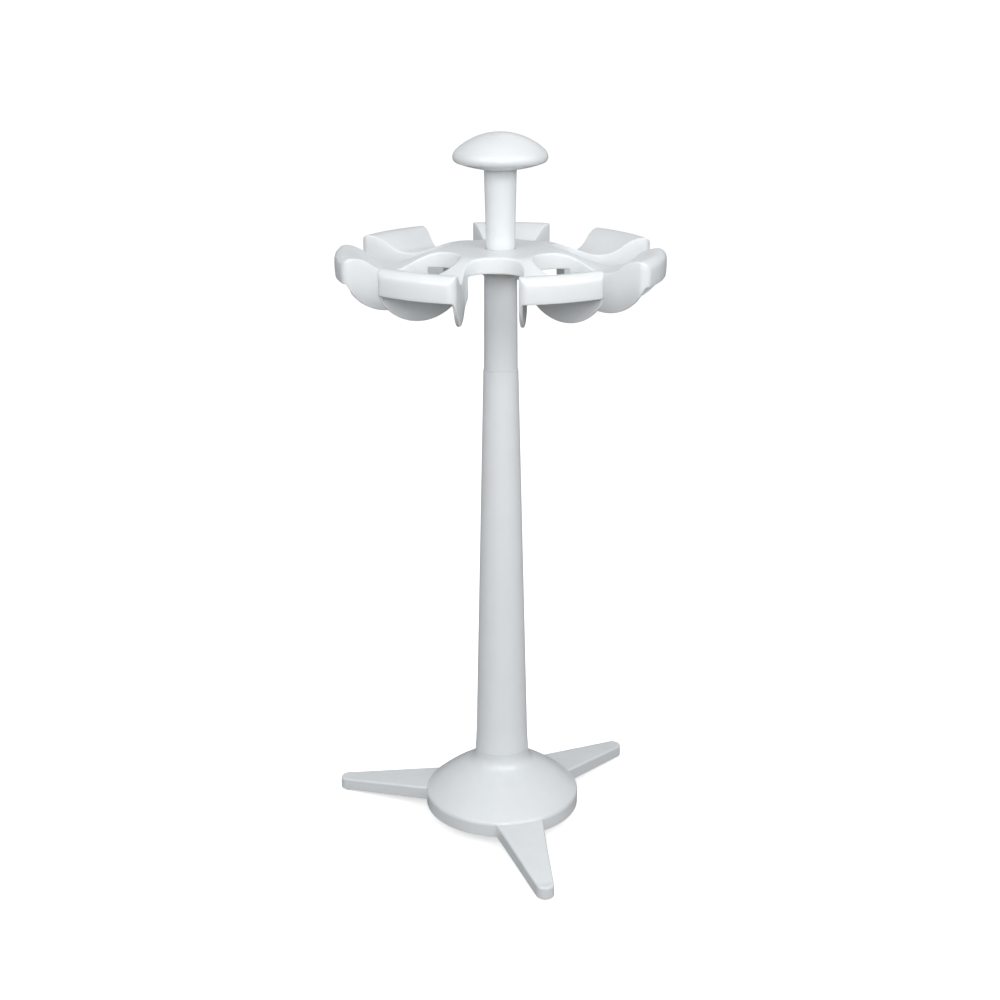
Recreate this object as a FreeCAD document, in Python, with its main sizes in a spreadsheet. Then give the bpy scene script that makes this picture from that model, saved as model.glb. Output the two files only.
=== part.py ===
import FreeCAD, Part
import math
import os
import re

import Sketcher

# Rotating bench stand for hand-held pipettes: a tripod base, a tapered hollow column, a seven-place
# carousel that spins on a spindle at the top of the column, and a carrying handle with a round knob.
#
# Frame, in millimetres: +Z runs up the column's axis. The origin is on that axis, in the plane of the
# base disc's lower rim; the feet reach foot_drop below it. The front leg points roughly towards -Y.

DIMENSIONS = {
    # Tripod base: a domed disc with a hollow underside and a collar for the column.
    "leg_count": 3,
    "foot_drop": 6.4,
    "disc_radius": 39.4,
    "disc_side_height": 5.8,
    "disc_edge_round": 3.0,
    "dome_edge_radius": 38.1,
    "dome_edge_height": 8.3,
    "dome_crown_round": 95.0,
    "dome_top_radius": 17.6,
    "dome_top_height": 22.8,
    "collar_radius": 13.6,
    "collar_fillet": 8.3,
    "collar_fillet_top": 30.1,
    "collar_height": 31.6,
    "base_wall": 2.5,
    "boss_radius": 13.0,
    "boss_bottom": 7.6,
    "boss_dome_height": 22.1,
    "cavity_edge_height": 6.0,
    "socket_radius": 10.6,
    "socket_floor": 15.6,
    "ballast_post_radius": 4.0,
    "ballast_circle": 24.0,
    "pilot_radius": 1.9,
    "pilot_top": 13.2,
    # Legs: they leave the disc wide and low, and taper to a round tip that stands on a pad.
    "front_leg_turn": -76.2,
    "leg_root": 36.9,
    "leg_root_width": 24.0,
    "leg_root_top": 6.9,
    "leg_end": 85.6,
    "leg_end_width": 8.8,
    "leg_end_top": 0.8,
    "leg_end_bottom": -5.4,
    "leg_wall": 2.4,
    "leg_edge_round": 1.0,
    "leg_channel_end": 79.0,
    "pad_radius": 3.0,
    "pad_height": 2.4,
    # Ballast ring under the dome.
    "ballast_inner": 16.0,
    "ballast_outer": 33.0,
    "ballast_bottom": 1.8,
    "ballast_top": 7.6,
    "ballast_hole": 2.2,
    "small_head_radius": 3.4,
    "small_head_height": 1.6,
    # Column tube: a slightly waisted foot, then one straight taper.
    "spigot_play": 0.05,
    "column_spigot_bottom": 16.6,
    "column_bore_radius": 8.3,
    "column_flare_top": 44.6,
    "column_flare_radius": 12.95,
    "column_flare_curve": 160.0,
    "column_top": 232.1,
    "column_top_radius": 8.4,
    "column_top_bore": 6.2,
    "column_top_bore_depth": 15.0,
    "column_wall": 2.3,
    # Column neck: plugs into the tube and carries the spindle.
    "neck_spigot_length": 14.4,
    "neck_bottom_radius": 8.1,
    "neck_top": 277.6,
    "neck_top_radius": 7.75,
    "neck_bore": 4.5,
    # Spindle: a flanged steel journal for the carousel.
    "spindle_spigot_radius": 5.6,
    "spindle_spigot_length": 14.0,
    "spindle_flange_radius": 6.5,
    "spindle_flange_height": 1.6,
    "journal_radius": 5.0,
    "journal_top": 289.3,
    "rod_hole_radius": 3.2,
    # Tie rod, washer and nut that clamp the whole column together.
    "rod_radius": 2.95,
    "rod_chamfer": 0.6,
    "rod_bottom": 0.6,
    "rod_top": 300.5,
    "nut_across_flats": 10.0,
    "nut_height": 5.0,
    "rod_washer_radius": 9.0,
    "rod_washer_height": 1.2,
    # Washers and bush of the carousel bearing.
    "thrust_bore": 5.1,
    "thrust_height": 0.8,
    "lower_thrust_radius": 7.7,
    "upper_thrust_radius": 6.6,
    "bearing_gap": 0.05,
    "bush_bore": 5.05,
    "bush_radius": 6.2,
    "wave_bore": 5.2,
    "wave_radius": 6.5,
    "wave_height": 0.8,
    # Carousel: hub, thin saddle-shaped leaves with deep side skirts, and an upright band at each rim.
    "place_count": 7,
    "first_slot_turn": -94.4,
    "carousel_radius": 77.5,
    "hub_top": 290.2,
    "hub_underside": 282.6,
    "hub_sleeve_radius": 7.75,
    "hub_recess_radius": 6.9,
    "hub_recess_floor": 287.6,
    "hub_flat_radius": 24.9,
    "hub_inside_radius": 28.0,
    "shoulder_round": 30.0,
    "shoulder_radius": 35.1,
    "shoulder_height": 288.4,
    "dip_start_radius": 46.5,
    "dip_start_height": 284.0,
    "dip_round": 17.0,
    "dip_end_radius": 62.8,
    "dip_end_height": 286.6,
    "crown_start_radius": 63.6,
    "crown_start_height": 287.2,
    "crown_round": 16.0,
    "crown_radius": 73.4,
    "crown_height": 290.6,
    "rim_round": 4.2,
    "band_top": 287.4,
    "band_bottom": 279.0,
    "band_bulge_round": 45.0,
    "band_wall": 1.8,
    "skin_drop": 2.0,
    "skirt_centre_radius": 53.5,
    "skirt_round": 25.2,
    "skirt_inner_radius": 35.0,
    "skirt_outer_radius": 76.2,
    "skirt_wall": 1.5,
    "slot_half_width": 13.3,
    "slot_end_centre": 38.2,
    "corner_round": 3.6,
    "cutter_bottom": 240.0,
    "cutter_height": 70.0,
    # Handle stem with its brass insert.
    "stem_foot_radius": 6.7,
    "stem_top": 326.8,
    "stem_top_radius": 7.6,
    "stem_spigot_radius": 5.0,
    "stem_spigot_top": 332.0,
    "insert_radius": 4.6,
    "insert_bore": 3.0,
    "insert_height": 12.0,
    "stem_rod_clearance": 3.4,
    "stem_rod_depth": 14.0,
    "stem_pilot_radius": 1.8,
    "stem_pilot_depth": 15.0,
    # Knob, its screw and the cap that hides the screw.
    "knob_radius": 22.1,
    "knob_widest": 332.4,
    "knob_under_radius": 20.4,
    "knob_under_height": 329.8,
    "knob_under_curve": 60.0,
    "knob_rim_round": 2.6,
    "knob_shoulder_radius": 21.0,
    "knob_dome_round": 30.5,
    "knob_top": 343.6,
    "knob_floor_top": 334.4,
    "knob_floor_hole": 2.2,
    "knob_well_radius": 7.6,
    "cap_radius": 10.0,
    "cap_seat": 339.6,
    "cap_play": 0.1,
    "cap_ring_radius": 7.5,
    "cap_ring_wall": 1.2,
    "cap_ring_depth": 2.6,
    "knob_screw_head_radius": 4.0,
    "knob_screw_head_height": 2.6,
    "knob_screw_radius": 1.75,
    "knob_screw_length": 15.0,
    "drive_across_flats": 2.5,
    "drive_depth": 1.4,
}

document = FreeCAD.newDocument("pipette_stand")
sheet = document.addObject("Spreadsheet::Sheet", "Dims")
for row, (alias, value) in enumerate(DIMENSIONS.items(), start=1):
    sheet.set(f"A{row}", alias)
    sheet.set(f"B{row}", str(value))
    sheet.setAlias(f"B{row}", alias)
document.recompute()

FULL_TURN = 360.0


def bound(text):
    """Turns a formula of dimension names into an expression that reads the sheet."""
    names = re.compile(r"[a-z][a-z_]*[a-z]")
    return names.sub(lambda m: f"Dims.{m.group()}" if m.group() in DIMENSIONS else m.group(), text)


def measure(text):
    """The number that a formula of dimension names gives with the sheet's present values."""
    value = sheet.evalExpression(bound(text))
    return float(getattr(value, "Value", value))


def new_body(label):
    body = document.addObject("PartDesign::Body", label)
    body.Label = label
    return body


def new_sketch(body, name, role, offset=None):
    """A sketch on one of the body's own origin planes, moved along the plane's normal by offset."""
    sketch = body.newObject("Sketcher::SketchObject", name)
    plane = next(f for f in body.Origin.OriginFeatures if f.Role == role)
    sketch.AttachmentSupport = [(plane, "")]
    sketch.MapMode = "FlatFace"
    if offset:
        sketch.setExpression("AttachmentOffset.Base.z", bound(offset))
    return sketch


def pin_point(sketch, edge, end, across, up):
    """Fixes one end of an edge at (across, up) from the sketch's origin."""
    for kind, text, axis in (("DistanceX", across, -2), ("DistanceY", up, -1)):
        value = measure(text)
        if abs(value) < 1e-9:
            sketch.addConstraint(Sketcher.Constraint("PointOnObject", edge, end, axis))
            continue
        index = sketch.addConstraint(Sketcher.Constraint(kind, -1, 1, edge, end, value))
        sketch.setExpression(f"Constraints[{index}]", bound(text))


def arc_between(first, last, radius, side):
    """The short arc from first to last that bulges to the left (side 1) or right (side -1)."""
    chord = last - first
    half = chord.Length / 2
    normal = FreeCAD.Vector(-chord.y, chord.x, 0).normalize() * side
    centre = (first + last) / 2 - normal * math.sqrt(max(radius**2 - half**2, 0.0))
    middle = centre + normal * radius
    return Part.Arc(first, middle, last)


def outline(sketch, corners):
    """Draws a closed outline. A corner is (across, up) and is followed by a straight edge, or
    (across, up, radius, side) and is followed by an arc that bulges left (1) or right (-1)."""
    points = [FreeCAD.Vector(measure(c[0]), measure(c[1]), 0) for c in corners]
    ends = []
    for i, corner in enumerate(corners):
        first, last = points[i], points[(i + 1) % len(points)]
        if len(corner) == 2:
            edge = sketch.addGeometry(Part.LineSegment(first, last), False)
            ends.append((edge, 1, 2))
            continue
        radius, side = corner[2:]
        edge = sketch.addGeometry(arc_between(first, last, measure(radius), side), False)
        # A sketch stores every arc anticlockwise, and one that bulges left runs clockwise.
        ends.append((edge, 2, 1) if side > 0 else (edge, 1, 2))
        index = sketch.addConstraint(Sketcher.Constraint("Radius", edge, measure(radius)))
        sketch.setExpression(f"Constraints[{index}]", bound(radius))
    for i, corner in enumerate(corners):
        edge, start, _ = ends[i]
        before, _, finish = ends[i - 1]
        sketch.addConstraint(Sketcher.Constraint("Coincident", before, finish, edge, start))
        pin_point(sketch, edge, start, corner[0], corner[1])


def circle(sketch, across, up, radius):
    centre = FreeCAD.Vector(measure(across), measure(up), 0)
    edge = sketch.addGeometry(Part.Circle(centre, FreeCAD.Vector(0, 0, 1), measure(radius)), False)
    pin_point(sketch, edge, 3, across, up)
    index = sketch.addConstraint(Sketcher.Constraint("Radius", edge, measure(radius)))
    sketch.setExpression(f"Constraints[{index}]", bound(radius))


def hexagon(sketch, across_flats):
    corners = []
    for i in range(6):
        angle = 30 + 60 * i
        reach = f"{across_flats} / (2 * cos(30))"
        corners.append((f"{reach} * cos({angle})", f"{reach} * sin({angle})"))
    outline(sketch, corners)


def finish(body, feature):
    body.Tip = feature
    document.recompute()
    return feature


def revolve(body, name, corners):
    """Turns an outline, drawn as (radius, height), about the column's axis."""
    sketch = new_sketch(body, f"{name}_profile", "XZ_Plane")
    outline(sketch, corners)
    document.recompute()
    feature = body.newObject("PartDesign::Revolution", name)
    feature.Profile = sketch
    feature.ReferenceAxis = (sketch, ["V_Axis"])
    feature.Angle = FULL_TURN
    return finish(body, feature)


def pad(body, name, sketch, length):
    document.recompute()
    feature = body.newObject("PartDesign::Pad", name)
    feature.Profile = sketch
    feature.setExpression("Length", bound(length))
    return finish(body, feature)


def pocket(body, name, sketch, length=None, downward=True):
    """Cuts a sketch down (or up) for a length, or right through, and checks that it cut something."""
    document.recompute()
    before = body.Shape.Volume
    feature = body.newObject("PartDesign::Pocket", name)
    feature.Profile = sketch
    if length:
        feature.Type = "Length"
        feature.setExpression("Length", bound(length))
        feature.Reversed = not downward
    else:
        feature.Type = "ThroughAll"
        feature.Midplane = True
    finish(body, feature)
    if body.Shape.Volume >= before - 1e-6:
        raise RuntimeError(f"{name} cut nothing")
    return feature


def polar(body, name, features, count):
    """Repeats features evenly about the column's axis."""
    feature = body.newObject("PartDesign::PolarPattern", name)
    feature.Originals = features
    axis = next(f for f in body.Origin.OriginFeatures if f.Role == "Z_Axis")
    feature.Axis = (axis, [""])
    feature.Angle = FULL_TURN
    feature.setExpression("Occurrences", bound(count))
    return finish(body, feature)


def edges_where(shape, test):
    """Names of the edges whose middle point and direction there pass the test."""
    found = []
    for number, edge in enumerate(shape.Edges, start=1):
        middle = (edge.FirstParameter + edge.LastParameter) / 2
        if test(edge.valueAt(middle), edge.tangentAt(middle), edge):
            found.append(f"Edge{number}")
    return found


def fillet(body, name, base, test, radius):
    feature = body.newObject("PartDesign::Fillet", name)
    feature.Base = (base, edges_where(base.Shape, test))
    feature.setExpression("Radius", bound(radius))
    return finish(body, feature)


def turned(label, corners):
    """A piece that is one turned or moulded shape round the column's axis."""
    body = new_body(label)
    revolve(body, f"{label}_turn", corners)
    return body


def ring(label, inner, outer, bottom, top):
    return turned(label, [(inner, bottom), (outer, bottom), (outer, top), (inner, top)])


def base_moulding():
    body = new_body("base_moulding")
    dome = revolve(body, "dome", [
        ("rod_hole_radius", "boss_bottom"),
        ("boss_radius", "boss_bottom"),
        ("boss_radius", "boss_dome_height"),
        ("disc_radius - base_wall", "cavity_edge_height"),
        ("disc_radius - base_wall", "0"),
        ("disc_radius", "0"),
        ("disc_radius", "disc_side_height", "disc_edge_round", -1),
        ("dome_edge_radius", "dome_edge_height", "dome_crown_round", -1),
        ("dome_top_radius", "dome_top_height", "collar_fillet", 1),
        ("collar_radius", "collar_fillet_top"),
        ("collar_radius", "collar_height"),
        ("socket_radius", "collar_height"),
        ("socket_radius", "socket_floor"),
        ("rod_hole_radius", "socket_floor"),
    ])

    def section(name, reach, width, top, bottom):
        sketch = new_sketch(body, name, "YZ_Plane", reach)
        outline(sketch, [
            (f"-({width}) / 2", bottom),
            (f"({width}) / 2", bottom),
            (f"({width}) / 2", top),
            (f"-({width}) / 2", top),
        ])
        return sketch

    root = section("leg_root_section", "leg_root", "leg_root_width", "leg_root_top", "0")
    end = section("leg_end_section", "leg_end", "leg_end_width", "leg_end_top", "leg_end_bottom")
    document.recompute()
    leg = body.newObject("PartDesign::AdditiveLoft", "leg")
    leg.Profile = root
    leg.Sections = [end]
    leg.Ruled = True
    finish(body, leg)

    tip_sketch = new_sketch(body, "leg_tip_outline", "XY_Plane", "leg_end_bottom")
    circle(tip_sketch, "leg_end", "0", "leg_end_width / 2")
    tip = pad(body, "leg_tip", tip_sketch, "leg_end_top - leg_end_bottom")

    channel_root = section("channel_root_section", "disc_radius", "leg_root_width - 2 * leg_wall",
                           "leg_root_top - leg_wall - 0.6", "-foot_drop")
    channel_end = section("channel_end_section", "leg_channel_end", "leg_end_width - 1.6 * leg_wall",
                          "leg_end_top - leg_wall + 0.4", "-foot_drop")
    document.recompute()
    channel = body.newObject("PartDesign::SubtractiveLoft", "leg_channel")
    channel.Profile = channel_root
    channel.Sections = [channel_end]
    channel.Ruled = True
    finish(body, channel)

    seat_sketch = new_sketch(body, "pad_seat_outline", "XY_Plane", "-foot_drop")
    circle(seat_sketch, "leg_end", "0", "pad_radius + spigot_play")
    seat = pocket(body, "pad_seat", seat_sketch, "pad_height + spigot_play", downward=False)
    legs = polar(body, "legs", [leg, tip, channel, seat], "leg_count")

    post_sketch = new_sketch(body, "ballast_post_outline", "XY_Plane", "ballast_top")
    circle(post_sketch, "-ballast_circle", "0", "ballast_post_radius")
    post = pad(body, "ballast_post", post_sketch, "pilot_top + 1.6 - ballast_top")
    pilot_sketch = new_sketch(body, "pilot_outline", "XY_Plane", "ballast_top")
    circle(pilot_sketch, "-ballast_circle", "0", "pilot_radius")
    pilot = pocket(body, "pilot", pilot_sketch, "pilot_top - ballast_top", downward=False)
    posts = polar(body, "ballast_posts", [post, pilot], "leg_count")

    disc = measure("disc_radius")

    def is_leg_top_edge(point, along, edge):
        reach = math.hypot(point.x, point.y)
        level = measure("leg_end_top") - 0.1
        outside = reach > disc + 1
        top_line = level + (measure("leg_root_top") - level) * (measure("leg_end") - reach) / (
            measure("leg_end") - measure("leg_root"))
        return outside and point.z > top_line - 1.5 and abs(along.z) < 0.5 and edge.Length > 3

    fillet(body, "leg_edges", posts, is_leg_top_edge, "leg_edge_round")
    body.Placement.Rotation = FreeCAD.Rotation(FreeCAD.Vector(0, 0, 1), measure("front_leg_turn"))
    return body


def foot_pad(label, index):
    body = new_body(label)
    sketch = new_sketch(body, f"{label}_outline", "XY_Plane", "-foot_drop")
    circle(sketch, "leg_end", "0", "pad_radius")
    pad(body, f"{label}_disc", sketch, "pad_height")
    turn = measure("front_leg_turn") + index * FULL_TURN / measure("leg_count")
    body.Placement.Rotation = FreeCAD.Rotation(FreeCAD.Vector(0, 0, 1), turn)
    return body


def ballast_ring():
    body = ring("ballast_ring", "ballast_inner", "ballast_outer", "ballast_bottom", "ballast_top")
    sketch = new_sketch(body, "ballast_hole_outline", "XY_Plane")
    circle(sketch, "-ballast_circle", "0", "ballast_hole")
    hole = pocket(body, "ballast_hole_cut", sketch)
    polar(body, "ballast_holes", [hole], "leg_count")
    body.Placement.Rotation = FreeCAD.Rotation(FreeCAD.Vector(0, 0, 1), measure("front_leg_turn"))
    return body


def ballast_screws():
    """Three pan-head screws, one solid each, that hold the ballast ring up against its posts."""
    body = new_body("ballast_screws")
    body.AllowCompound = True
    head_sketch = new_sketch(body, "ballast_head_outline", "XY_Plane",
                             "ballast_bottom - small_head_height")
    circle(head_sketch, "-ballast_circle", "0", "small_head_radius")
    head = pad(body, "ballast_head", head_sketch, "small_head_height")
    shank_sketch = new_sketch(body, "ballast_shank_outline", "XY_Plane", "ballast_bottom")
    circle(shank_sketch, "-ballast_circle", "0", "pilot_radius")
    shank = pad(body, "ballast_shank", shank_sketch, "pilot_top - ballast_bottom - 0.4")
    polar(body, "ballast_screw_set", [head, shank], "leg_count")
    body.Placement.Rotation = FreeCAD.Rotation(FreeCAD.Vector(0, 0, 1), measure("front_leg_turn"))
    return body


def column_tube():
    return turned("column_tube", [
        ("column_bore_radius", "column_spigot_bottom"),
        ("socket_radius - spigot_play", "column_spigot_bottom"),
        ("socket_radius - spigot_play", "collar_height"),
        ("collar_radius", "collar_height", "column_flare_curve", 1),
        ("column_flare_radius", "column_flare_top"),
        ("column_top_radius", "column_top"),
        ("column_top_bore", "column_top"),
        ("column_top_bore", "column_top - column_top_bore_depth"),
        ("column_top_bore - 0.4", "column_top - column_top_bore_depth"),
        ("column_flare_radius - column_wall", "column_flare_top"),
        ("column_bore_radius", "collar_height"),
    ])


def column_neck():
    seat = "neck_top - spindle_flange_height"
    spigot_end = "neck_top - spindle_flange_height - spindle_spigot_length"
    return turned("column_neck", [
        ("neck_bore", "column_top - neck_spigot_length"),
        ("column_top_bore - spigot_play", "column_top - neck_spigot_length"),
        ("column_top_bore - spigot_play", "column_top"),
        ("neck_bottom_radius", "column_top"),
        ("neck_top_radius", "neck_top"),
        ("spindle_flange_radius + spigot_play", "neck_top"),
        ("spindle_flange_radius + spigot_play", seat),
        ("spindle_spigot_radius + spigot_play", seat),
        ("spindle_spigot_radius + spigot_play", f"{spigot_end} - 0.2"),
        ("neck_bore", f"{spigot_end} - 0.2"),
    ])


def spindle():
    return turned("spindle", [
        ("rod_hole_radius", "neck_top - spindle_flange_height - spindle_spigot_length"),
        ("spindle_spigot_radius", "neck_top - spindle_flange_height - spindle_spigot_length"),
        ("spindle_spigot_radius", "neck_top - spindle_flange_height"),
        ("spindle_flange_radius", "neck_top - spindle_flange_height"),
        ("spindle_flange_radius", "neck_top"),
        ("journal_radius", "neck_top"),
        ("journal_radius", "journal_top"),
        ("rod_hole_radius", "journal_top"),
    ])


def tie_rod():
    return turned("tie_rod", [
        ("0", "rod_bottom"),
        ("rod_radius - rod_chamfer", "rod_bottom"),
        ("rod_radius", "rod_bottom + rod_chamfer"),
        ("rod_radius", "rod_top - rod_chamfer"),
        ("rod_radius - rod_chamfer", "rod_top"),
        ("0", "rod_top"),
    ])


def tie_rod_nut():
    body = new_body("tie_rod_nut")
    sketch = new_sketch(body, "nut_outline", "XY_Plane", "boss_bottom - rod_washer_height - nut_height")
    hexagon(sketch, "nut_across_flats")
    circle(sketch, "0", "0", "rod_radius + spigot_play")
    pad(body, "nut_block", sketch, "nut_height")
    return body


def carousel_top(drop):
    """The leaf's saddle-shaped upper line from rim crown to hub, lowered by drop."""
    line = [
        ("crown_radius", "crown_height", "crown_round", 1),
        ("crown_start_radius", "crown_start_height"),
        ("dip_end_radius", "dip_end_height", "dip_round", -1),
        ("dip_start_radius", "dip_start_height"),
        ("shoulder_radius", "shoulder_height", "shoulder_round", 1),
        ("hub_flat_radius", "hub_top"),
    ]
    # An arc named from the far end bulges the other way, since the line runs inwards.
    return [(c[0], f"{c[1]} - {drop}", c[2], -c[3]) if len(c) == 4 else (c[0], f"{c[1]} - {drop}")
            for c in line]


def reversed_line(line):
    """The same line run the other way: each arc moves to the corner that now starts it."""
    turned_round = []
    for i in range(len(line) - 1, -1, -1):
        curve = line[i - 1][2:] if i > 0 else ()
        corner = line[i][:2]
        if curve:
            corner = corner + (curve[0], -curve[1])
        turned_round.append(corner)
    return turned_round


def upright_sketch(name):
    """A sketch in the XZ plane that belongs to no body, for the carousel's turned shapes."""
    sketch = document.addObject("Sketcher::SketchObject", name)
    sketch.Placement.Rotation = FreeCAD.Rotation(FreeCAD.Vector(1, 0, 0), 90)
    return sketch


def turned_solid(name, corners):
    sketch = upright_sketch(f"{name}_profile")
    outline(sketch, corners)
    solid = document.addObject("Part::Revolution", name)
    solid.Source = sketch
    solid.Axis = FreeCAD.Vector(0, 0, 1)
    solid.Angle = FULL_TURN
    solid.Solid = True
    return solid


def cutters(name, corners, half_step=0):
    """One upright cutter for each place of the carousel, the first turned by half_step half places."""
    sketch = document.addObject("Sketcher::SketchObject", f"{name}_outlines")
    sketch.setExpression("Placement.Base.z", bound("cutter_bottom"))
    for place in range(DIMENSIONS["place_count"]):
        turn = f"(({2 * place + half_step}) * 180 / place_count)"
        outline(sketch, [
            (f"({c[0]}) * cos({turn}) - ({c[1]}) * sin({turn})",
             f"({c[0]}) * sin({turn}) + ({c[1]}) * cos({turn})") + tuple(c[2:])
            for c in corners
        ])
    solid = document.addObject("Part::Extrusion", name)
    solid.Base = sketch
    solid.DirMode = "Custom"
    solid.Dir = FreeCAD.Vector(0, 0, 1)
    solid.setExpression("LengthFwd", bound("cutter_height"))
    solid.Solid = True
    return solid


def combine(kind, name, base, tool):
    result = document.addObject(kind, name)
    result.Base = base
    result.Tool = tool
    document.recompute()
    return result


def carousel_head():
    half_skin = "skin_drop / 2"

    # The skirts' lower edge is one arc that ends at the band and, inwards, at an upright end wall.
    skirt_reach = "(skirt_outer_radius - skirt_centre_radius)"
    skirt_centre_height = f"(band_bottom + sqrt(skirt_round ^ 2 - {skirt_reach} ^ 2))"
    end_reach = "(skirt_centre_radius - skirt_inner_radius)"
    end_bottom = f"{skirt_centre_height} - sqrt(skirt_round ^ 2 - {end_reach} ^ 2)"
    skirt_ring = turned_solid("skirt_ring", [
        ("hub_flat_radius", f"hub_top - {half_skin}"),
        ("hub_flat_radius", "hub_underside"),
        ("skirt_inner_radius", "hub_underside"),
        ("skirt_inner_radius", end_bottom, "skirt_round", -1),
        ("skirt_centre_radius", f"{skirt_centre_height} - skirt_round", "skirt_round", -1),
        ("skirt_outer_radius", "band_bottom"),
        ("skirt_outer_radius", f"crown_height - {half_skin} - 1.2"),
    ] + carousel_top(half_skin)[:-1])

    # Each leaf is hollow below: its inside faces run parallel to the slots at skirt_wall from them.
    # Points are first placed beside a slot that runs along X, then turned half a place into the leaf.
    half_place = "(180 / place_count)"

    def in_leaf(out, aside, side):
        return (f"(({out}) * cos({half_place}) + ({aside}) * sin({half_place}))",
                f"{side} * (({out}) * sin({half_place}) - ({aside}) * cos({half_place}))")

    wall = "(slot_half_width + skirt_wall)"
    inner_rim = "(carousel_radius - band_wall)"
    inner_round = "(corner_round - skirt_wall)"
    round_aside = f"({wall} + {inner_round})"
    round_out = f"sqrt(({inner_rim} - {inner_round}) ^ 2 - {round_aside} ^ 2)"
    stretch = f"({inner_rim} / ({inner_rim} - {inner_round}))"
    neck_out = "(skirt_inner_radius + skirt_wall)"
    past_centre = f"({neck_out} - slot_end_centre * cos{half_place})"
    neck = (neck_out, f"(slot_end_centre * sin{half_place} - sqrt({wall} ^ 2 - {past_centre} ^ 2))")
    insides = cutters("leaf_insides", [
        (neck[0], f"-{neck[1]}", wall, 1),
        in_leaf("slot_end_centre", wall, "-1"),
        in_leaf(round_out, wall, "-1") + (inner_round, -1),
        in_leaf(f"{round_out} * {stretch}", f"{round_aside} * {stretch}", "-1") + (inner_rim, -1),
        in_leaf(f"{round_out} * {stretch}", f"{round_aside} * {stretch}", "1") + (inner_round, -1),
        in_leaf(round_out, wall, "1"),
        in_leaf("slot_end_centre", wall, "1") + (wall, 1),
        neck,
    ], half_step=1)
    skirts = combine("Part::Cut", "skirts", skirt_ring, insides)

    sleeve_bottom = "neck_top + thrust_height + bearing_gap"
    skin = turned_solid("skin_and_hub", [
        ("bush_radius", sleeve_bottom),
        ("hub_sleeve_radius", sleeve_bottom),
        ("hub_sleeve_radius", "hub_underside"),
        ("hub_inside_radius", "hub_underside"),
        ("hub_inside_radius", "hub_top - skin_drop - 0.4"),
    ] + reversed_line(carousel_top("skin_drop"))[1:] + [
        ("carousel_radius - band_wall", "crown_height - skin_drop - 0.3"),
        ("carousel_radius - band_wall", "band_bottom"),
        ("carousel_radius - 0.2", "band_bottom", "band_bulge_round", -1),
        ("carousel_radius", "band_top", "rim_round", -1),
    ] + carousel_top("0") + [
        ("hub_recess_radius", "hub_top"),
        ("hub_recess_radius", "hub_recess_floor"),
        ("bush_radius", "hub_recess_floor"),
    ])
    shell = combine("Part::Fuse", "skirted_shell", skin, skirts)

    # A slot's mouth rounds off the two corners of the rim bands beside it.
    mouth_aside = "(slot_half_width + corner_round)"
    mouth_out = f"sqrt((carousel_radius - corner_round) ^ 2 - {mouth_aside} ^ 2)"
    spread = "(carousel_radius / (carousel_radius - corner_round))"
    beyond = "(carousel_radius + 5)"
    slots = cutters("slots", [
        ("slot_end_centre - slot_half_width", "0", "slot_half_width", -1),
        ("slot_end_centre", "-slot_half_width"),
        (mouth_out, "-slot_half_width", "corner_round", 1),
        (f"{mouth_out} * {spread}", f"-{mouth_aside} * {spread}"),
        (beyond, f"-{mouth_aside} * {spread}"),
        (beyond, f"{mouth_aside} * {spread}"),
        (f"{mouth_out} * {spread}", f"{mouth_aside} * {spread}", "corner_round", 1),
        (mouth_out, "slot_half_width"),
        ("slot_end_centre", "slot_half_width", "slot_half_width", -1),
    ])
    head = combine("Part::Cut", "carousel_head", shell, slots)
    head.Placement.Rotation = FreeCAD.Rotation(FreeCAD.Vector(0, 0, 1), measure("first_slot_turn"))
    document.recompute()
    return head


def hub_bush():
    return ring("hub_bush", "bush_bore", "bush_radius", "neck_top + thrust_height + bearing_gap",
                "hub_recess_floor")


def handle_stem():
    return turned("handle_stem", [
        ("insert_radius", "journal_top"),
        ("stem_foot_radius", "journal_top"),
        ("stem_foot_radius", "hub_top"),
        ("stem_top_radius", "stem_top"),
        ("stem_spigot_radius", "stem_top"),
        ("stem_spigot_radius", "stem_spigot_top"),
        ("stem_pilot_radius", "stem_spigot_top"),
        ("stem_pilot_radius", "stem_spigot_top - stem_pilot_depth"),
        ("0", "stem_spigot_top - stem_pilot_depth"),
        ("0", "journal_top + stem_rod_depth"),
        ("stem_rod_clearance", "journal_top + stem_rod_depth"),
        ("stem_rod_clearance", "journal_top + insert_height"),
        ("insert_radius", "journal_top + insert_height"),
    ])


def dome_height(radius):
    """The height of the knob's spherical top at a radius from the axis."""
    return f"knob_top - knob_dome_round + sqrt(knob_dome_round ^ 2 - ({radius}) ^ 2)"


def knob_body():
    return turned("knob_body", [
        ("knob_floor_hole", "stem_spigot_top + 0.2"),
        ("stem_spigot_radius + spigot_play", "stem_spigot_top + 0.2"),
        ("stem_spigot_radius + spigot_play", "stem_top"),
        ("stem_top_radius + 0.6", "stem_top", "knob_under_curve", -1),
        ("knob_under_radius", "knob_under_height", "knob_rim_round", -1),
        ("knob_radius", "knob_widest", "knob_rim_round * 2", -1),
        ("knob_shoulder_radius", dome_height("knob_shoulder_radius"), "knob_dome_round", -1),
        ("cap_radius + cap_play", dome_height("cap_radius + cap_play")),
        ("cap_radius + cap_play", "cap_seat"),
        ("knob_well_radius", "cap_seat"),
        ("knob_well_radius", "knob_floor_top"),
        ("knob_floor_hole", "knob_floor_top"),
    ])


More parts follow.
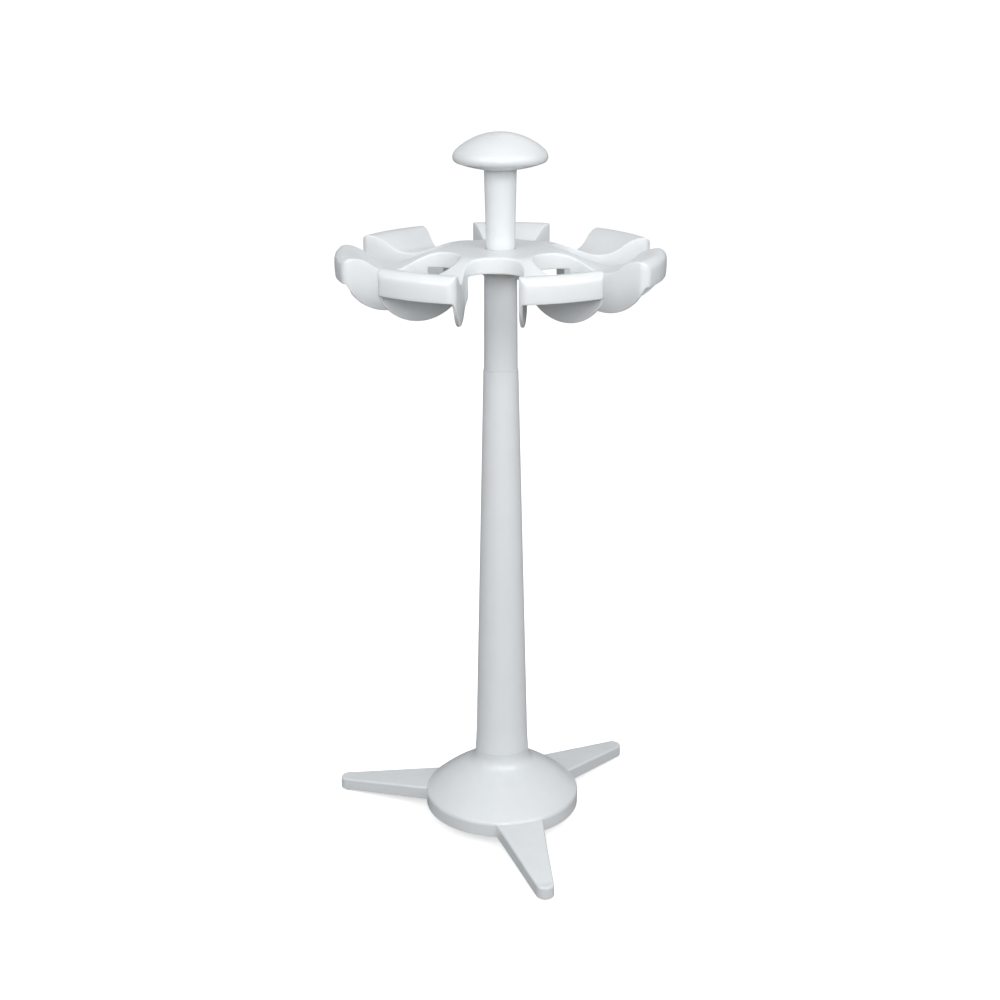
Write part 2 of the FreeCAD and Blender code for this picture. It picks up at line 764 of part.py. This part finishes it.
def knob_cap():
    return turned("knob_cap", [
        ("0", "cap_seat + cap_play"),
        ("cap_ring_radius - cap_ring_wall", "cap_seat + cap_play"),
        ("cap_ring_radius - cap_ring_wall", "cap_seat - cap_ring_depth"),
        ("cap_ring_radius", "cap_seat - cap_ring_depth"),
        ("cap_ring_radius", "cap_seat"),
        ("cap_radius", "cap_seat"),
        ("cap_radius", dome_height("cap_radius"), "knob_dome_round", -1),
        ("0", "knob_top"),
    ])


def knob_screw():
    body = turned("knob_screw", [
        ("0", "knob_floor_top - knob_screw_length"),
        ("knob_screw_radius", "knob_floor_top - knob_screw_length"),
        ("knob_screw_radius", "knob_floor_top"),
        ("knob_screw_head_radius", "knob_floor_top"),
        ("knob_screw_head_radius", "knob_floor_top + knob_screw_head_height"),
        ("0", "knob_floor_top + knob_screw_head_height"),
    ])
    sketch = new_sketch(body, "drive_outline", "XY_Plane", "knob_floor_top + knob_screw_head_height")
    hexagon(sketch, "drive_across_flats")
    pocket(body, "drive", sketch, "drive_depth")
    return body


pieces = [base_moulding()]
for index, side in enumerate(("front", "right", "left")):
    pieces.append(foot_pad(f"foot_pad_{side}", index))
pieces += [
    ballast_ring(),
    ballast_screws(),
    column_tube(),
    column_neck(),
    spindle(),
    tie_rod(),
    ring("tie_rod_washer", "rod_hole_radius", "rod_washer_radius",
         "boss_bottom - rod_washer_height", "boss_bottom"),
    tie_rod_nut(),
    ring("lower_thrust_washer", "thrust_bore", "lower_thrust_radius",
         "neck_top", "neck_top + thrust_height"),
    carousel_head(),
    hub_bush(),
    ring("upper_thrust_washer", "thrust_bore", "upper_thrust_radius",
         "hub_recess_floor + bearing_gap", "hub_recess_floor + bearing_gap + thrust_height"),
    ring("wave_washer", "wave_bore", "wave_radius",
         "hub_recess_floor + bearing_gap + thrust_height",
         "hub_recess_floor + bearing_gap + thrust_height + wave_height"),
    handle_stem(),
    ring("stem_insert", "insert_bore", "insert_radius", "journal_top", "journal_top + insert_height"),
    knob_body(),
    knob_screw(),
    knob_cap(),
]

document.recompute()
for thing in document.Objects:
    if {"Invalid", "Error"} & set(thing.State):
        raise RuntimeError(f"{thing.Label} failed: {thing.State}")
for piece in pieces:
    if piece.Shape.isNull() or not piece.Shape.isValid():
        raise RuntimeError(f"{piece.Label} has no valid shape")

os.makedirs("parts", exist_ok=True)
for piece in pieces:
    piece.Shape.exportStep(f"parts/{piece.Label}.step")
    solids = len(piece.Shape.Solids)
    print(f"{piece.Label}: {solids} solid(s), {piece.Shape.Volume / 1000:.2f} cm3")
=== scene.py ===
import math

import bmesh
import bpy
from mathutils import Matrix, Vector


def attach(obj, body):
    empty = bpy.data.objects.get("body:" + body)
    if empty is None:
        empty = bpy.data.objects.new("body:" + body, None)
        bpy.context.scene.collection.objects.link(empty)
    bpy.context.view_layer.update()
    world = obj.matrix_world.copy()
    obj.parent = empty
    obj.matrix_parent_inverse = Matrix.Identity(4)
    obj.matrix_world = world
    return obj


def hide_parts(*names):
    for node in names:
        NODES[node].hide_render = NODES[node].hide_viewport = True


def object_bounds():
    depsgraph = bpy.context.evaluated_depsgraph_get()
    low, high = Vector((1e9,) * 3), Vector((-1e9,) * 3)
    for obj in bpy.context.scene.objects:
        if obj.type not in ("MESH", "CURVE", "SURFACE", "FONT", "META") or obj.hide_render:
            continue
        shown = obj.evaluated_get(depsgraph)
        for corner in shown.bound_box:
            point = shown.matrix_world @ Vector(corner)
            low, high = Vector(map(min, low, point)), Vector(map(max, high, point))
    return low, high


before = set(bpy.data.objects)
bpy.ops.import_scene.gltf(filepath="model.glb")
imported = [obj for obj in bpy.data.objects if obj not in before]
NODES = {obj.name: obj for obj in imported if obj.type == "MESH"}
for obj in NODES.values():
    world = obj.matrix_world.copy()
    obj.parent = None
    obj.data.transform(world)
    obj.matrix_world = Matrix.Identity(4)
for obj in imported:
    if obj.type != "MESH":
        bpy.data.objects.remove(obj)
cad_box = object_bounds()
FLOOR_HEIGHT = cad_box[0].z
MM = 0.001

# Where a Mix node keeps the sockets it uses for colours.
MIX_COLOUR_INPUTS = (0, 6, 7)
MIX_COLOUR_OUTPUT = 2


# ---------------------------------------------------------------- materials

class Shader:
    """A small helper that adds and wires shader nodes in a new material."""

    def __init__(self, name):
        self.material = bpy.data.materials.new(name)
        self.material.use_nodes = True
        self.tree = self.material.node_tree
        self.tree.nodes.clear()

    def add(self, kind, inputs=None, **settings):
        """A new node; an input is given by name or index, as a value or as another node's output."""
        node = self.tree.nodes.new(kind)
        for key, value in settings.items():
            setattr(node, key, value)
        for key, value in (inputs or {}).items():
            if isinstance(value, bpy.types.NodeSocket):
                self.tree.links.new(value, node.inputs[key])
            else:
                node.inputs[key].default_value = value
        return node

    def position(self, stretch=(1, 1, 1)):
        """The point's place in the frame at rest, scaled along each axis."""
        coordinates = self.add("ShaderNodeTexCoord")
        mapping = self.add("ShaderNodeMapping", {
            "Vector": coordinates.outputs["Object"], "Scale": stretch})
        return mapping.outputs["Vector"]

    def noise(self, scale, detail=3.0, stretch=(1, 1, 1), roughness=0.5):
        node = self.add("ShaderNodeTexNoise", {
            "Vector": self.position(stretch), "Scale": scale, "Detail": detail, "Roughness": roughness})
        return node.outputs["Fac"]

    def remap(self, value, low, high, to_low, to_high):
        node = self.add("ShaderNodeMapRange", {
            "Value": value, "From Min": low, "From Max": high, "To Min": to_low, "To Max": to_high})
        return node.outputs["Result"]

    def mix(self, factor, first, second):
        inputs = dict(zip(MIX_COLOUR_INPUTS, (factor, first, second)))
        return self.add("ShaderNodeMix", inputs, data_type="RGBA").outputs[MIX_COLOUR_OUTPUT]

    def product(self, first, second):
        return self.add("ShaderNodeMath", {0: first, 1: second}, operation="MULTIPLY").outputs["Value"]

    def bump(self, height, distance, normal=None):
        inputs = {"Height": height, "Distance": distance}
        if normal is not None:
            inputs["Normal"] = normal
        return self.add("ShaderNodeBump", inputs).outputs["Normal"]

    def finish(self, surface):
        """The material, with the given node's only or first output as its surface."""
        self.add("ShaderNodeOutputMaterial", {"Surface": surface.outputs[0]})
        return self.material


def colour(red, green, blue):
    return red, green, blue, 1.0


def tinted(tint, share):
    """The colour of a tint with each channel scaled by its share."""
    return colour(*(channel * part for channel, part in zip(tint, share)))


def moulded_plastic(name, tint, gloss, waviness, upward_shade):
    """White injection-moulded plastic: faint flow waves, a fine tool texture, slight yellowing and handling
    scuffs, with painted shade: darker in its corners by an ambient-occlusion mask, and greyer in patches on
    faces that look up."""
    shader = Shader(name)
    blotches = shader.noise(45.0, 4.0)
    grain = shader.noise(2600.0, 2.0)
    waves = shader.noise(70.0, 1.0, stretch=(1, 1, 0.35))
    scuffs = shader.noise(380.0, 6.0, stretch=(1, 1, 0.25), roughness=0.65)

    ageing = shader.remap(blotches, 0.35, 0.7, 0.0, 1.0)
    paint = shader.mix(ageing, colour(*tint), tinted(tint, (0.985, 0.975, 0.955)))

    # Painted shade: an ambient-occlusion mask darkens the colour in corners and recesses.
    corners = shader.add("ShaderNodeAmbientOcclusion", {"Distance": 6 * MM}, samples=6)
    painted_corner_shade = shader.remap(corners.outputs["AO"], 0.25, 0.85, 0.30, 0.0)
    paint = shader.mix(painted_corner_shade, paint, tinted(tint, (0.72, 0.71, 0.70)))

    # Painted shade: faces that look up are greyed in patches, more the further their normal points up.
    facing = shader.add("ShaderNodeSeparateXYZ", {
        "Vector": shader.add("ShaderNodeNewGeometry").outputs["Normal"]})
    painted_top_shade = shader.remap(facing.outputs["Z"], 0.4, 1.0, 0.0, upward_shade)
    patchy = shader.remap(shader.noise(150.0, 8.0, roughness=0.7), 0.35, 0.65, 0.55, 1.0)
    paint = shader.mix(shader.product(painted_top_shade, patchy), paint, tinted(tint, (0.90, 0.90, 0.895)))

    surface = shader.add("ShaderNodeBsdfPrincipled", {
        "Base Color": paint,
        "Roughness": shader.remap(scuffs, 0.35, 0.75, gloss, gloss + 0.13),
        "IOR": 1.50,
        "Normal": shader.bump(grain, 0.004 * MM, shader.bump(waves, waviness)),
        "Subsurface Weight": 0.18, "Subsurface Radius": (1.3, 1.2, 1.1), "Subsurface Scale": 1.0 * MM,
        "Coat Weight": 0.3, "Coat Roughness": 0.08})
    return shader.finish(surface)


def rubber(name, tint):
    """Moulded rubber with a pale speckle."""
    shader = Shader(name)
    speckle = shader.noise(1500.0, 4.0)
    surface = shader.add("ShaderNodeBsdfPrincipled", {
        "Base Color": shader.mix(speckle, colour(*tint), tinted(tint, (1.5, 1.5, 1.5))),
        "Roughness": shader.remap(speckle, 0.3, 0.7, 0.6, 0.85),
        "Normal": shader.bump(speckle, 0.03 * MM)})
    return shader.finish(surface)


def metal(name, tint, gloss):
    """Turned, plated or drawn metal: fine brushing round the part, and cloudy plating."""
    shader = Shader(name)
    lines = shader.noise(900.0, 5.0, stretch=(1, 1, 14))
    clouds = shader.noise(160.0, 3.0)
    surface = shader.add("ShaderNodeBsdfPrincipled", {
        "Base Color": shader.mix(clouds, colour(*tint), tinted(tint, (0.88, 0.88, 0.88))),
        "Metallic": 1.0,
        "Roughness": shader.remap(lines, 0.3, 0.7, gloss, gloss + 0.15),
        "Normal": shader.bump(lines, 0.006 * MM)})
    return shader.finish(surface)


# Each slot's kind of material, its colour, its gloss (the lowest roughness), and for plastic how deep its
# waves are and how much painted shade greys its faces that look up.
MATERIALS = {slot: kind(slot, *numbers) for slot, kind, *numbers in (
    ("base_plastic", moulded_plastic, (0.755, 0.785, 0.81), 0.30, 0.03 * MM, 0.9),
    ("column_plastic", moulded_plastic, (0.78, 0.81, 0.835), 0.33, 0.03 * MM, 0.5),
    ("carousel_plastic", moulded_plastic, (0.825, 0.855, 0.875), 0.30, 0.03 * MM, 0.45),
    ("handle_plastic", moulded_plastic, (0.80, 0.83, 0.85), 0.31, 0.03 * MM, 0.4),
    ("cap_plastic", moulded_plastic, (0.80, 0.83, 0.85), 0.30, 0.02 * MM, 0.4),
    ("bearing_plastic", moulded_plastic, (0.78, 0.76, 0.68), 0.5, 0.01 * MM, 0.3),
    ("pad_rubber", rubber, (0.10, 0.105, 0.11)),
    ("ballast_steel", metal, (0.20, 0.205, 0.215), 0.5),
    ("zinc_steel", metal, (0.62, 0.63, 0.65), 0.30),
    ("spring_steel", metal, (0.50, 0.50, 0.52), 0.3),
    ("spindle_steel", metal, (0.66, 0.66, 0.68), 0.30),
    ("insert_brass", metal, (0.72, 0.53, 0.24), 0.30),
)}

# The small radius that moulding or turning leaves on each piece's edges, in millimetres.
EDGE_ROUNDS = {
    "base_moulding": 0.30,
    "foot_pad_front": 0.25,
    "foot_pad_right": 0.25,
    "foot_pad_left": 0.25,
    "ballast_ring": 0.15,
    "ballast_screws": 0.20,
    "tie_rod_nut": 0.25,
    "tie_rod_washer": 0.15,
    "column_tube": 0.25,
    "column_neck": 0.20,
    "handle_stem": 0.25,
    "knob_body": 0.12,
    "knob_cap": 0.12,
}
SHARP_EDGE = math.radians(60)
WELD_DISTANCE = 0.001 * MM


def finish_node(name, node):
    """Gives a CAD node its material, joins its faces' shared edges, and rounds its sharp edges a little."""
    slot = node.data.materials[0].name.split(".")[0]
    node.data.materials[0] = MATERIALS[slot]
    weld = node.modifiers.new("weld", "WELD")
    weld.merge_threshold = WELD_DISTANCE
    if name in EDGE_ROUNDS:
        rounding = node.modifiers.new("edge_rounding", "BEVEL")
        rounding.width = EDGE_ROUNDS[name] * MM
        rounding.segments = 2
        rounding.limit_method = "ANGLE"
        rounding.angle_limit = SHARP_EDGE
        rounding.use_clamp_overlap = True
    shading = node.modifiers.new("shading", "WEIGHTED_NORMAL")
    shading.keep_sharp = True


# ---------------------------------------------------------------- carousel

# All in millimetres, as the CAD's carousel, whose rim bands alone are a little thicker than the WALL here:
# seven places for pipettes, between seven leaves.
PLACES = 7
HALF_PLACE = math.pi / PLACES
FIRST_SLOT = math.radians(-94.4)
RIM_RADIUS = 77.5
SLOT_END_CENTRE = 38.2
SLOT_HALF_WIDTH = 13.3
CORNER_ROUND = 3.6
HUB_TOP = 290.2
HUB_UNDERSIDE = 282.6
SKIN = 2.0
WALL = 1.5
TOP_EDGE = 0.6
LOWER_EDGE = 0.45

# The band along a leaf's rim: its face is an arc that leans in a little at the bottom.
BAND_TOP = 287.4
BAND_BOTTOM = 279.0
BAND_LEAN = 0.2
BAND_CURVE = 45.0

# The leaf's top from hub to rim, as (start, end, radius, bulge): bulge 1 is crowned and -1 is hollow.
TOP_LINE = [
    ((24.9, HUB_TOP), (35.1, 288.4), 30.0, 1),
    ((35.1, 288.4), (46.5, 284.0), None, 0),
    ((46.5, 284.0), (62.8, 286.6), 17.0, -1),
    ((62.8, 286.6), (63.6, 287.2), None, 0),
    ((63.6, 287.2), (73.4, 290.6), 16.0, 1),
    ((73.4, 290.6), (RIM_RADIUS, BAND_TOP), 4.2, 1),
]

# The skirt's lower edge is an arc, from an upright end near the hub out to the band.
SKIRT_CENTRE = (53.5, 289.94)
SKIRT_ROUND = 25.2
SKIRT_END = 35.0
SKIRT_REACH = 76.2
# How near the skirt's end both of its corners are eased, and by how much in height.
EASED_SPAN = 0.2
EASED_INNER_CORNER = 0.35
EASED_LOWER_CORNER = 0.4

# The hub round the axis, as (radius, height): the stem's recess, the bore, and the boss under the hub.
HUB_RINGS = (20.0, 16.5, 13.0, 10.0)
HUB_MIDDLE = [
    (8.0, HUB_TOP), (7.3, HUB_TOP), (7.02, 290.08), (6.9, 289.8), (6.9, 287.6), (6.2, 287.6),
    (6.2, 278.45), (7.45, 278.45), (7.75, 278.75), (7.75, 282.2), (8.2, HUB_UNDERSIDE),
]

# How finely the meshes are divided: across a leaf, round its edges, and up its walls.
COLUMNS = 24
ROUNDING = [math.radians(turn) for turn in (90, 60, 30, 0)]
OUTER_SHARES = (0.2, 0.4, 0.6, 0.8, 1.0)
INNER_SHARES = (0, 0.25, 0.5, 0.75, 1)
JOIN_DISTANCE = 0.004 * MM
SLIVER_LENGTH = 0.002 * MM


def arc_centre(start, end, radius, bulge):
    """The centre of an arc from start to end, each (across, up), that bulges up (1) or down (-1)."""
    across, up = end[0] - start[0], end[1] - start[1]
    chord = math.hypot(across, up)
    away = bulge * math.sqrt(radius ** 2 - chord ** 2 / 4) / chord
    return (start[0] + end[0]) / 2 + up * away, (start[1] + end[1]) / 2 - across * away


def top_height(radius):
    """The height of the leaves' top face at a distance from the axis."""
    if radius <= TOP_LINE[0][0][0]:
        return HUB_TOP
    start, end, curve, bulge = next(part for part in TOP_LINE if radius <= part[1][0] + 1e-6)
    if bulge == 0:
        share = (radius - start[0]) / (end[0] - start[0])
        return start[1] + share * (end[1] - start[1])
    across, up = arc_centre(start, end, curve, bulge)
    return up + bulge * math.sqrt(curve ** 2 - (radius - across) ** 2)


def lower_height(radius):
    """The height of the lower edge: flat under the hub, the skirt's upright end and arc, then the band."""
    if radius < SKIRT_END:
        return HUB_UNDERSIDE - (EASED_INNER_CORNER if radius > SKIRT_END - EASED_SPAN else 0.0)
    if radius >= SKIRT_REACH:
        return BAND_BOTTOM
    arc = SKIRT_CENTRE[1] - math.sqrt(SKIRT_ROUND ** 2 - (radius - SKIRT_CENTRE[0]) ** 2)
    return arc + (EASED_LOWER_CORNER if radius < SKIRT_END + EASED_SPAN else 0.0)


def band_bulge(height):
    """How far the rim band's face stands out from the rim radius at a height."""
    up, across = arc_centre((BAND_BOTTOM, RIM_RADIUS - BAND_LEAN), (BAND_TOP, RIM_RADIUS), BAND_CURVE, 1)
    return across + math.sqrt(BAND_CURVE ** 2 - (min(height, BAND_TOP) - up) ** 2) - RIM_RADIUS


def slot_turn(radius):
    """The angle round the slot's closed end at which its edge is this far from the axis."""
    return math.acos((SLOT_END_CENTRE ** 2 + SLOT_HALF_WIDTH ** 2 - radius ** 2)
                     / (2 * SLOT_END_CENTRE * SLOT_HALF_WIDTH))


# Where the rounded corner of a slot's mouth has its centre, as out along the slot's axis and aside from it.
CORNER_ASIDE = SLOT_HALF_WIDTH + CORNER_ROUND
CORNER_OUT = math.sqrt((RIM_RADIUS - CORNER_ROUND) ** 2 - CORNER_ASIDE ** 2)
CORNER_ANGLE = math.atan2(CORNER_ASIDE, CORNER_OUT)

# Steps along one side of a leaf: round the slot's end, out along the slot, then round the mouth's corner.
END_TURNS = ([math.radians(7 * step) for step in range(10)]
             + [slot_turn(SKIRT_END + offset) for offset in (-0.4, -0.1, 0.1, 0.6)]
             + [math.radians(turn) for turn in (74, 82, 90)])
# The step at which a wall closes the leaf's hollow on the side of the hub.
CLOSING_STEP = 14
SIDE_STEPS = 22
CORNER_STEPS = 9
LEAF_STEPS = len(END_TURNS) + SIDE_STEPS + CORNER_STEPS


def side_point(step, inset):
    """(out, aside) from the slot's axis of a point on the slot's edge, moved into the leaf by inset."""
    if step < len(END_TURNS):
        reach = SLOT_HALF_WIDTH + inset
        return SLOT_END_CENTRE - reach * math.cos(END_TURNS[step]), reach * math.sin(END_TURNS[step])
    step -= len(END_TURNS) - 1
    if step <= SIDE_STEPS:
        out = SLOT_END_CENTRE + (CORNER_OUT - SLOT_END_CENTRE) * step / SIDE_STEPS
        return out, SLOT_HALF_WIDTH + inset
    share = (step - SIDE_STEPS) / CORNER_STEPS
    turn = -math.pi / 2 + share * (math.pi / 2 + CORNER_ANGLE)
    reach = CORNER_ROUND - inset
    return CORNER_OUT + reach * math.cos(turn), CORNER_ASIDE + reach * math.sin(turn)


def edge_point(place, inset):
    """(x, y) on the leaf's edge for place = (side, step): side 1 or -1 along a slot, 0 along the rim."""
    side, step = place
    if side == 0:
        angle = (HALF_PLACE - CORNER_ANGLE) * (1 - 2 * step / COLUMNS)
        return (RIM_RADIUS - inset) * math.cos(angle), (RIM_RADIUS - inset) * math.sin(angle)
    out, aside = side_point(step, inset)
    return (out * math.cos(HALF_PLACE) + aside * math.sin(HALF_PLACE),
            side * (out * math.sin(HALF_PLACE) - aside * math.cos(HALF_PLACE)))


def leaf_grids():
    """One leaf, with its part of the hub, as grids of points whose shared borders coincide."""
    last = LEAF_STEPS - 1
    path = ([(1, step) for step in range(LEAF_STEPS)] + [(0, column) for column in range(1, COLUMNS)]
            + [(-1, step) for step in range(last, -1, -1)])

    def at(place, inset, height):
        return edge_point(place, inset) + (height,)

    def on_top(place, inset, drop=0.0):
        x, y = edge_point(place, inset)
        return x, y, top_height(math.hypot(x, y)) - drop

    def bottom(place):
        return lower_height(math.hypot(*edge_point(place, 0.0)))

    def rim_share(place):
        """0 along the slots, 1 along the rim, and between them round the corner."""
        corner_start = last - CORNER_STEPS
        return 1.0 if place[0] == 0 else max(0.0, (place[1] - corner_start) / CORNER_STEPS) ** 2

    def outer_skin(place):
        """The points over the leaf's edge, down its outer wall and round under it."""
        top = [on_top(place, TOP_EDGE * (1 - math.cos(lean)), TOP_EDGE * (1 - math.sin(lean)))
               for lean in ROUNDING]
        high, low = top[-1][2], bottom(place) + LOWER_EDGE
        face = [at(place, 0.0, high + (low - high) * share) for share in OUTER_SHARES]
        face += [at(place, LOWER_EDGE * (1 - math.cos(lean)), low - LOWER_EDGE * math.sin(lean))
                 for lean in reversed(ROUNDING[:-1])]
        inner_round = LOWER_EDGE if place[0] == 0 or place[1] > CLOSING_STEP else 0.0
        inside = [at(place, WALL - LOWER_EDGE * (1 - math.cos(lean)),
                     bottom(place) + inner_round * (1 - math.sin(lean))) for lean in ROUNDING]
        bulged = []
        for x, y, z in top[1:] + face:
            grow = 1 + rim_share(place) * band_bulge(z) / RIM_RADIUS
            bulged.append((x * grow, y * grow, z))
        return [on_top(place, WALL), top[0]] + bulged + inside

    def up_inside(place):
        """The points up the inside of the wall, from its lower edge to the skin."""
        low, high = outer_skin(place)[-1], on_top(place, WALL, SKIN)
        return [at(place, WALL, low[2] + (high[2] - low[2]) * share) for share in INNER_SHARES]

    def across(step, height):
        """A row of points from side to side of the leaf; height is a number or a function of radius."""
        if step == last:
            row = [edge_point((0, column), WALL) for column in range(COLUMNS + 1)]
        else:
            x, y = edge_point((1, step), WALL)
            radius, spread = math.hypot(x, y), math.atan2(y, x)
            angles = [spread * (1 - 2 * column / COLUMNS) for column in range(COLUMNS + 1)]
            row = [(radius * math.cos(angle), radius * math.sin(angle)) for angle in angles]
        return [(x, y, height(math.hypot(x, y)) if callable(height) else height) for x, y in row]

    closing_low = bottom((1, CLOSING_STEP))
    closing_high = up_inside((1, CLOSING_STEP))[-1][2]
    inner_path = [place for place in path if place[0] == 0 or place[1] >= CLOSING_STEP]
    return [
        [outer_skin(place) for place in path],
        [up_inside(place) for place in inner_path],
        [across(step, top_height) for step in range(LEAF_STEPS)],
        [across(step, bottom((1, step))) for step in range(CLOSING_STEP + 1)],
        [across(CLOSING_STEP, closing_low + (closing_high - closing_low) * share)
         for share in INNER_SHARES],
        [across(step, lambda radius: top_height(radius) - SKIN)
         for step in range(CLOSING_STEP, LEAF_STEPS)],
        hub_rows(SLOT_END_CENTRE - SLOT_HALF_WIDTH - WALL),
    ]


def hub_rows(outer):
    """Rows round the hub from its top, through the recess and the bore, to its underside."""
    rings = (outer,) + HUB_RINGS
    profile = [(radius, HUB_TOP) for radius in rings] + HUB_MIDDLE
    profile += [(radius, HUB_UNDERSIDE) for radius in reversed(rings)]
    angles = [HALF_PLACE * (1 - 2 * column / COLUMNS) for column in range(COLUMNS + 1)]
    return [[(radius * math.cos(angle), radius * math.sin(angle), height) for angle in angles]
            for radius, height in profile]


def smooth_piece(name, build, sharp_angle):
    """A new object from bmesh code: doubles merged, normals outwards, smooth but for its sharp edges."""
    mesh = bpy.data.meshes.new(name)
    shape = bmesh.new()
    build(shape)
    bmesh.ops.remove_doubles(shape, verts=shape.verts, dist=JOIN_DISTANCE)
    bmesh.ops.dissolve_degenerate(shape, edges=shape.edges, dist=SLIVER_LENGTH)
    bmesh.ops.recalc_face_normals(shape, faces=shape.faces)
    shape.to_mesh(mesh)
    shape.free()
    mesh.shade_smooth()
    mesh.set_sharp_from_angle(angle=sharp_angle)
    thing = bpy.data.objects.new(name, mesh)
    bpy.context.scene.collection.objects.link(thing)
    return thing


def carousel():
    """The carousel head's moulding, in place of the CAD's: one leaf's grids, turned to seven places."""
    grids = leaf_grids()

    def build(shape):
        for leaf in range(PLACES):
            turn = Matrix.Rotation(FIRST_SLOT + HALF_PLACE * (2 * leaf + 1), 4, "Z")
            for grid in grids:
                rows = [[shape.verts.new(turn @ Vector(point) * MM) for point in row] for row in grid]
                for lower, upper in zip(rows, rows[1:]):
                    for a, b, c, d in zip(lower, lower[1:], upper[1:], upper):
                        shape.faces.new((a, b, c, d))

    piece = smooth_piece("carousel_moulding", build, math.radians(40))
    piece.data.materials.append(MATERIALS["carousel_plastic"])
    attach(piece, "carousel")
    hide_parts("carousel_head")


# ---------------------------------------------------------------- studio

FLOOR_HALF_WIDTH = 40.0
FLOOR_SEEN = (0.90, 0.905, 0.91)
FLOOR_SENT_BACK = (0.22, 0.22, 0.22)
FLOOR_GLOW = 0.6
SKY_SEEN = (1.0, 1.0, 1.0)
SKY_SENT = (0.503, 0.511, 0.518)

# The square lights: name, place, the height on the axis that each is aimed at, width, and power in watts.
LIGHTS = [
    ("at_camera", (0.0, -0.85, 0.45), 0.2, 0.35, 0.82),
    ("above_camera", (0.0, -0.85, 0.66), 0.2, 0.35, 1.75),
    ("left_front", (-0.55, -0.62, 0.68), 0.2, 0.35, 1.71),
    ("right_front", (0.55, -0.62, 0.68), 0.2, 0.35, 2.73),
    ("left_side", (-0.85, -0.25, 0.60), 0.2, 0.35, 0.40),
    ("right_side", (0.85, -0.25, 0.60), 0.2, 0.35, 0.40),
    ("behind", (0.25, 0.95, 1.10), 0.2, 0.6, 0.60),
    ("ceiling", (0.03, -0.13, 1.60), 0.1, 0.10, 0.60),
]

CAMERA_PLACE = (0, -0.7543, 0.4232)
CAMERA_DOWN, CAMERA_ROLL, CAMERA_TURN = 0.3291, -0.003, 0.0008
CAMERA_LENS = 58.235
CAMERA_SENSOR = 36.0
CAMERA_NEAREST = 0.01


def floor():
    """A pale seamless floor. It looks bright, sends little light back up, and can't be seen from below."""
    half = FLOOR_HALF_WIDTH
    corners = [(-half, -half, FLOOR_HEIGHT), (half, -half, FLOOR_HEIGHT),
               (half, half, FLOOR_HEIGHT), (-half, half, FLOOR_HEIGHT)]
    mesh = bpy.data.meshes.new("floor")
    mesh.from_pydata(corners, [], [(0, 1, 2, 3)])
    thing = bpy.data.objects.new("floor", mesh)
    bpy.context.scene.collection.objects.link(thing)

    shader = Shader("pale_floor")
    seen = shader.add("ShaderNodeLightPath").outputs["Is Camera Ray"]
    matt = shader.add("ShaderNodeBsdfDiffuse", {
        "Color": shader.mix(seen, colour(*FLOOR_SENT_BACK), colour(*FLOOR_SEEN))})
    glow = shader.add("ShaderNodeEmission", {
        "Color": colour(1.0, 1.0, 1.0), "Strength": shader.product(seen, FLOOR_GLOW)})
    bright = shader.add("ShaderNodeAddShader", {0: matt.outputs["BSDF"], 1: glow.outputs["Emission"]})
    clear = shader.add("ShaderNodeBsdfTransparent")
    below = shader.add("ShaderNodeNewGeometry").outputs["Backfacing"]
    sides = shader.add("ShaderNodeMixShader", {
        "Fac": below, 1: bright.outputs["Shader"], 2: clear.outputs["BSDF"]})
    mesh.materials.append(shader.finish(sides))


def area_light(name, place, aim_height, width, power):
    """A square light that faces a point on the axis."""
    light = bpy.data.lights.new(name, "AREA")
    light.shape = "SQUARE"
    light.size = width
    light.energy = power
    thing = bpy.data.objects.new(name, light)
    thing.location = place
    direction = Vector((0, 0, aim_height)) - Vector(place)
    thing.rotation_euler = direction.to_track_quat("-Z", "Y").to_euler()
    bpy.context.scene.collection.objects.link(thing)


def studio():
    """A white backdrop that lights the stand less than it looks, and the lights."""
    world = bpy.data.worlds.new("studio")
    world.use_nodes = True
    tree = world.node_tree
    rays = tree.nodes.new("ShaderNodeLightPath")
    mix = tree.nodes.new("ShaderNodeMix")
    mix.data_type = "RGBA"
    factor, sent, seen = (mix.inputs[index] for index in MIX_COLOUR_INPUTS)
    sent.default_value = colour(*SKY_SENT)
    seen.default_value = colour(*SKY_SEEN)
    tree.links.new(rays.outputs["Is Camera Ray"], factor)
    background = tree.nodes["Background"]
    background.inputs["Strength"].default_value = 1.0
    tree.links.new(mix.outputs[MIX_COLOUR_OUTPUT], background.inputs["Color"])
    bpy.context.scene.world = world
    for settings in LIGHTS:
        area_light(*settings)


def photographer():
    """A camera in front of the stand, looking down on it."""
    camera = bpy.data.cameras.new("camera")
    camera.sensor_width = CAMERA_SENSOR
    camera.lens = CAMERA_LENS
    camera.clip_start = CAMERA_NEAREST
    thing = bpy.data.objects.new("camera", camera)
    thing.matrix_world = (
        Matrix.Translation(CAMERA_PLACE)
        @ Matrix.Rotation(CAMERA_TURN, 4, "Z")
        @ Matrix.Rotation(math.pi / 2 - CAMERA_DOWN, 4, "X")
        @ Matrix.Rotation(CAMERA_ROLL, 4, "Z"))
    bpy.context.scene.collection.objects.link(thing)
    bpy.context.scene.camera = thing


for name, node in NODES.items():
    finish_node(name, node)
carousel()
floor()
studio()
photographer()
bpy.context.scene.view_settings.view_transform = "Standard"
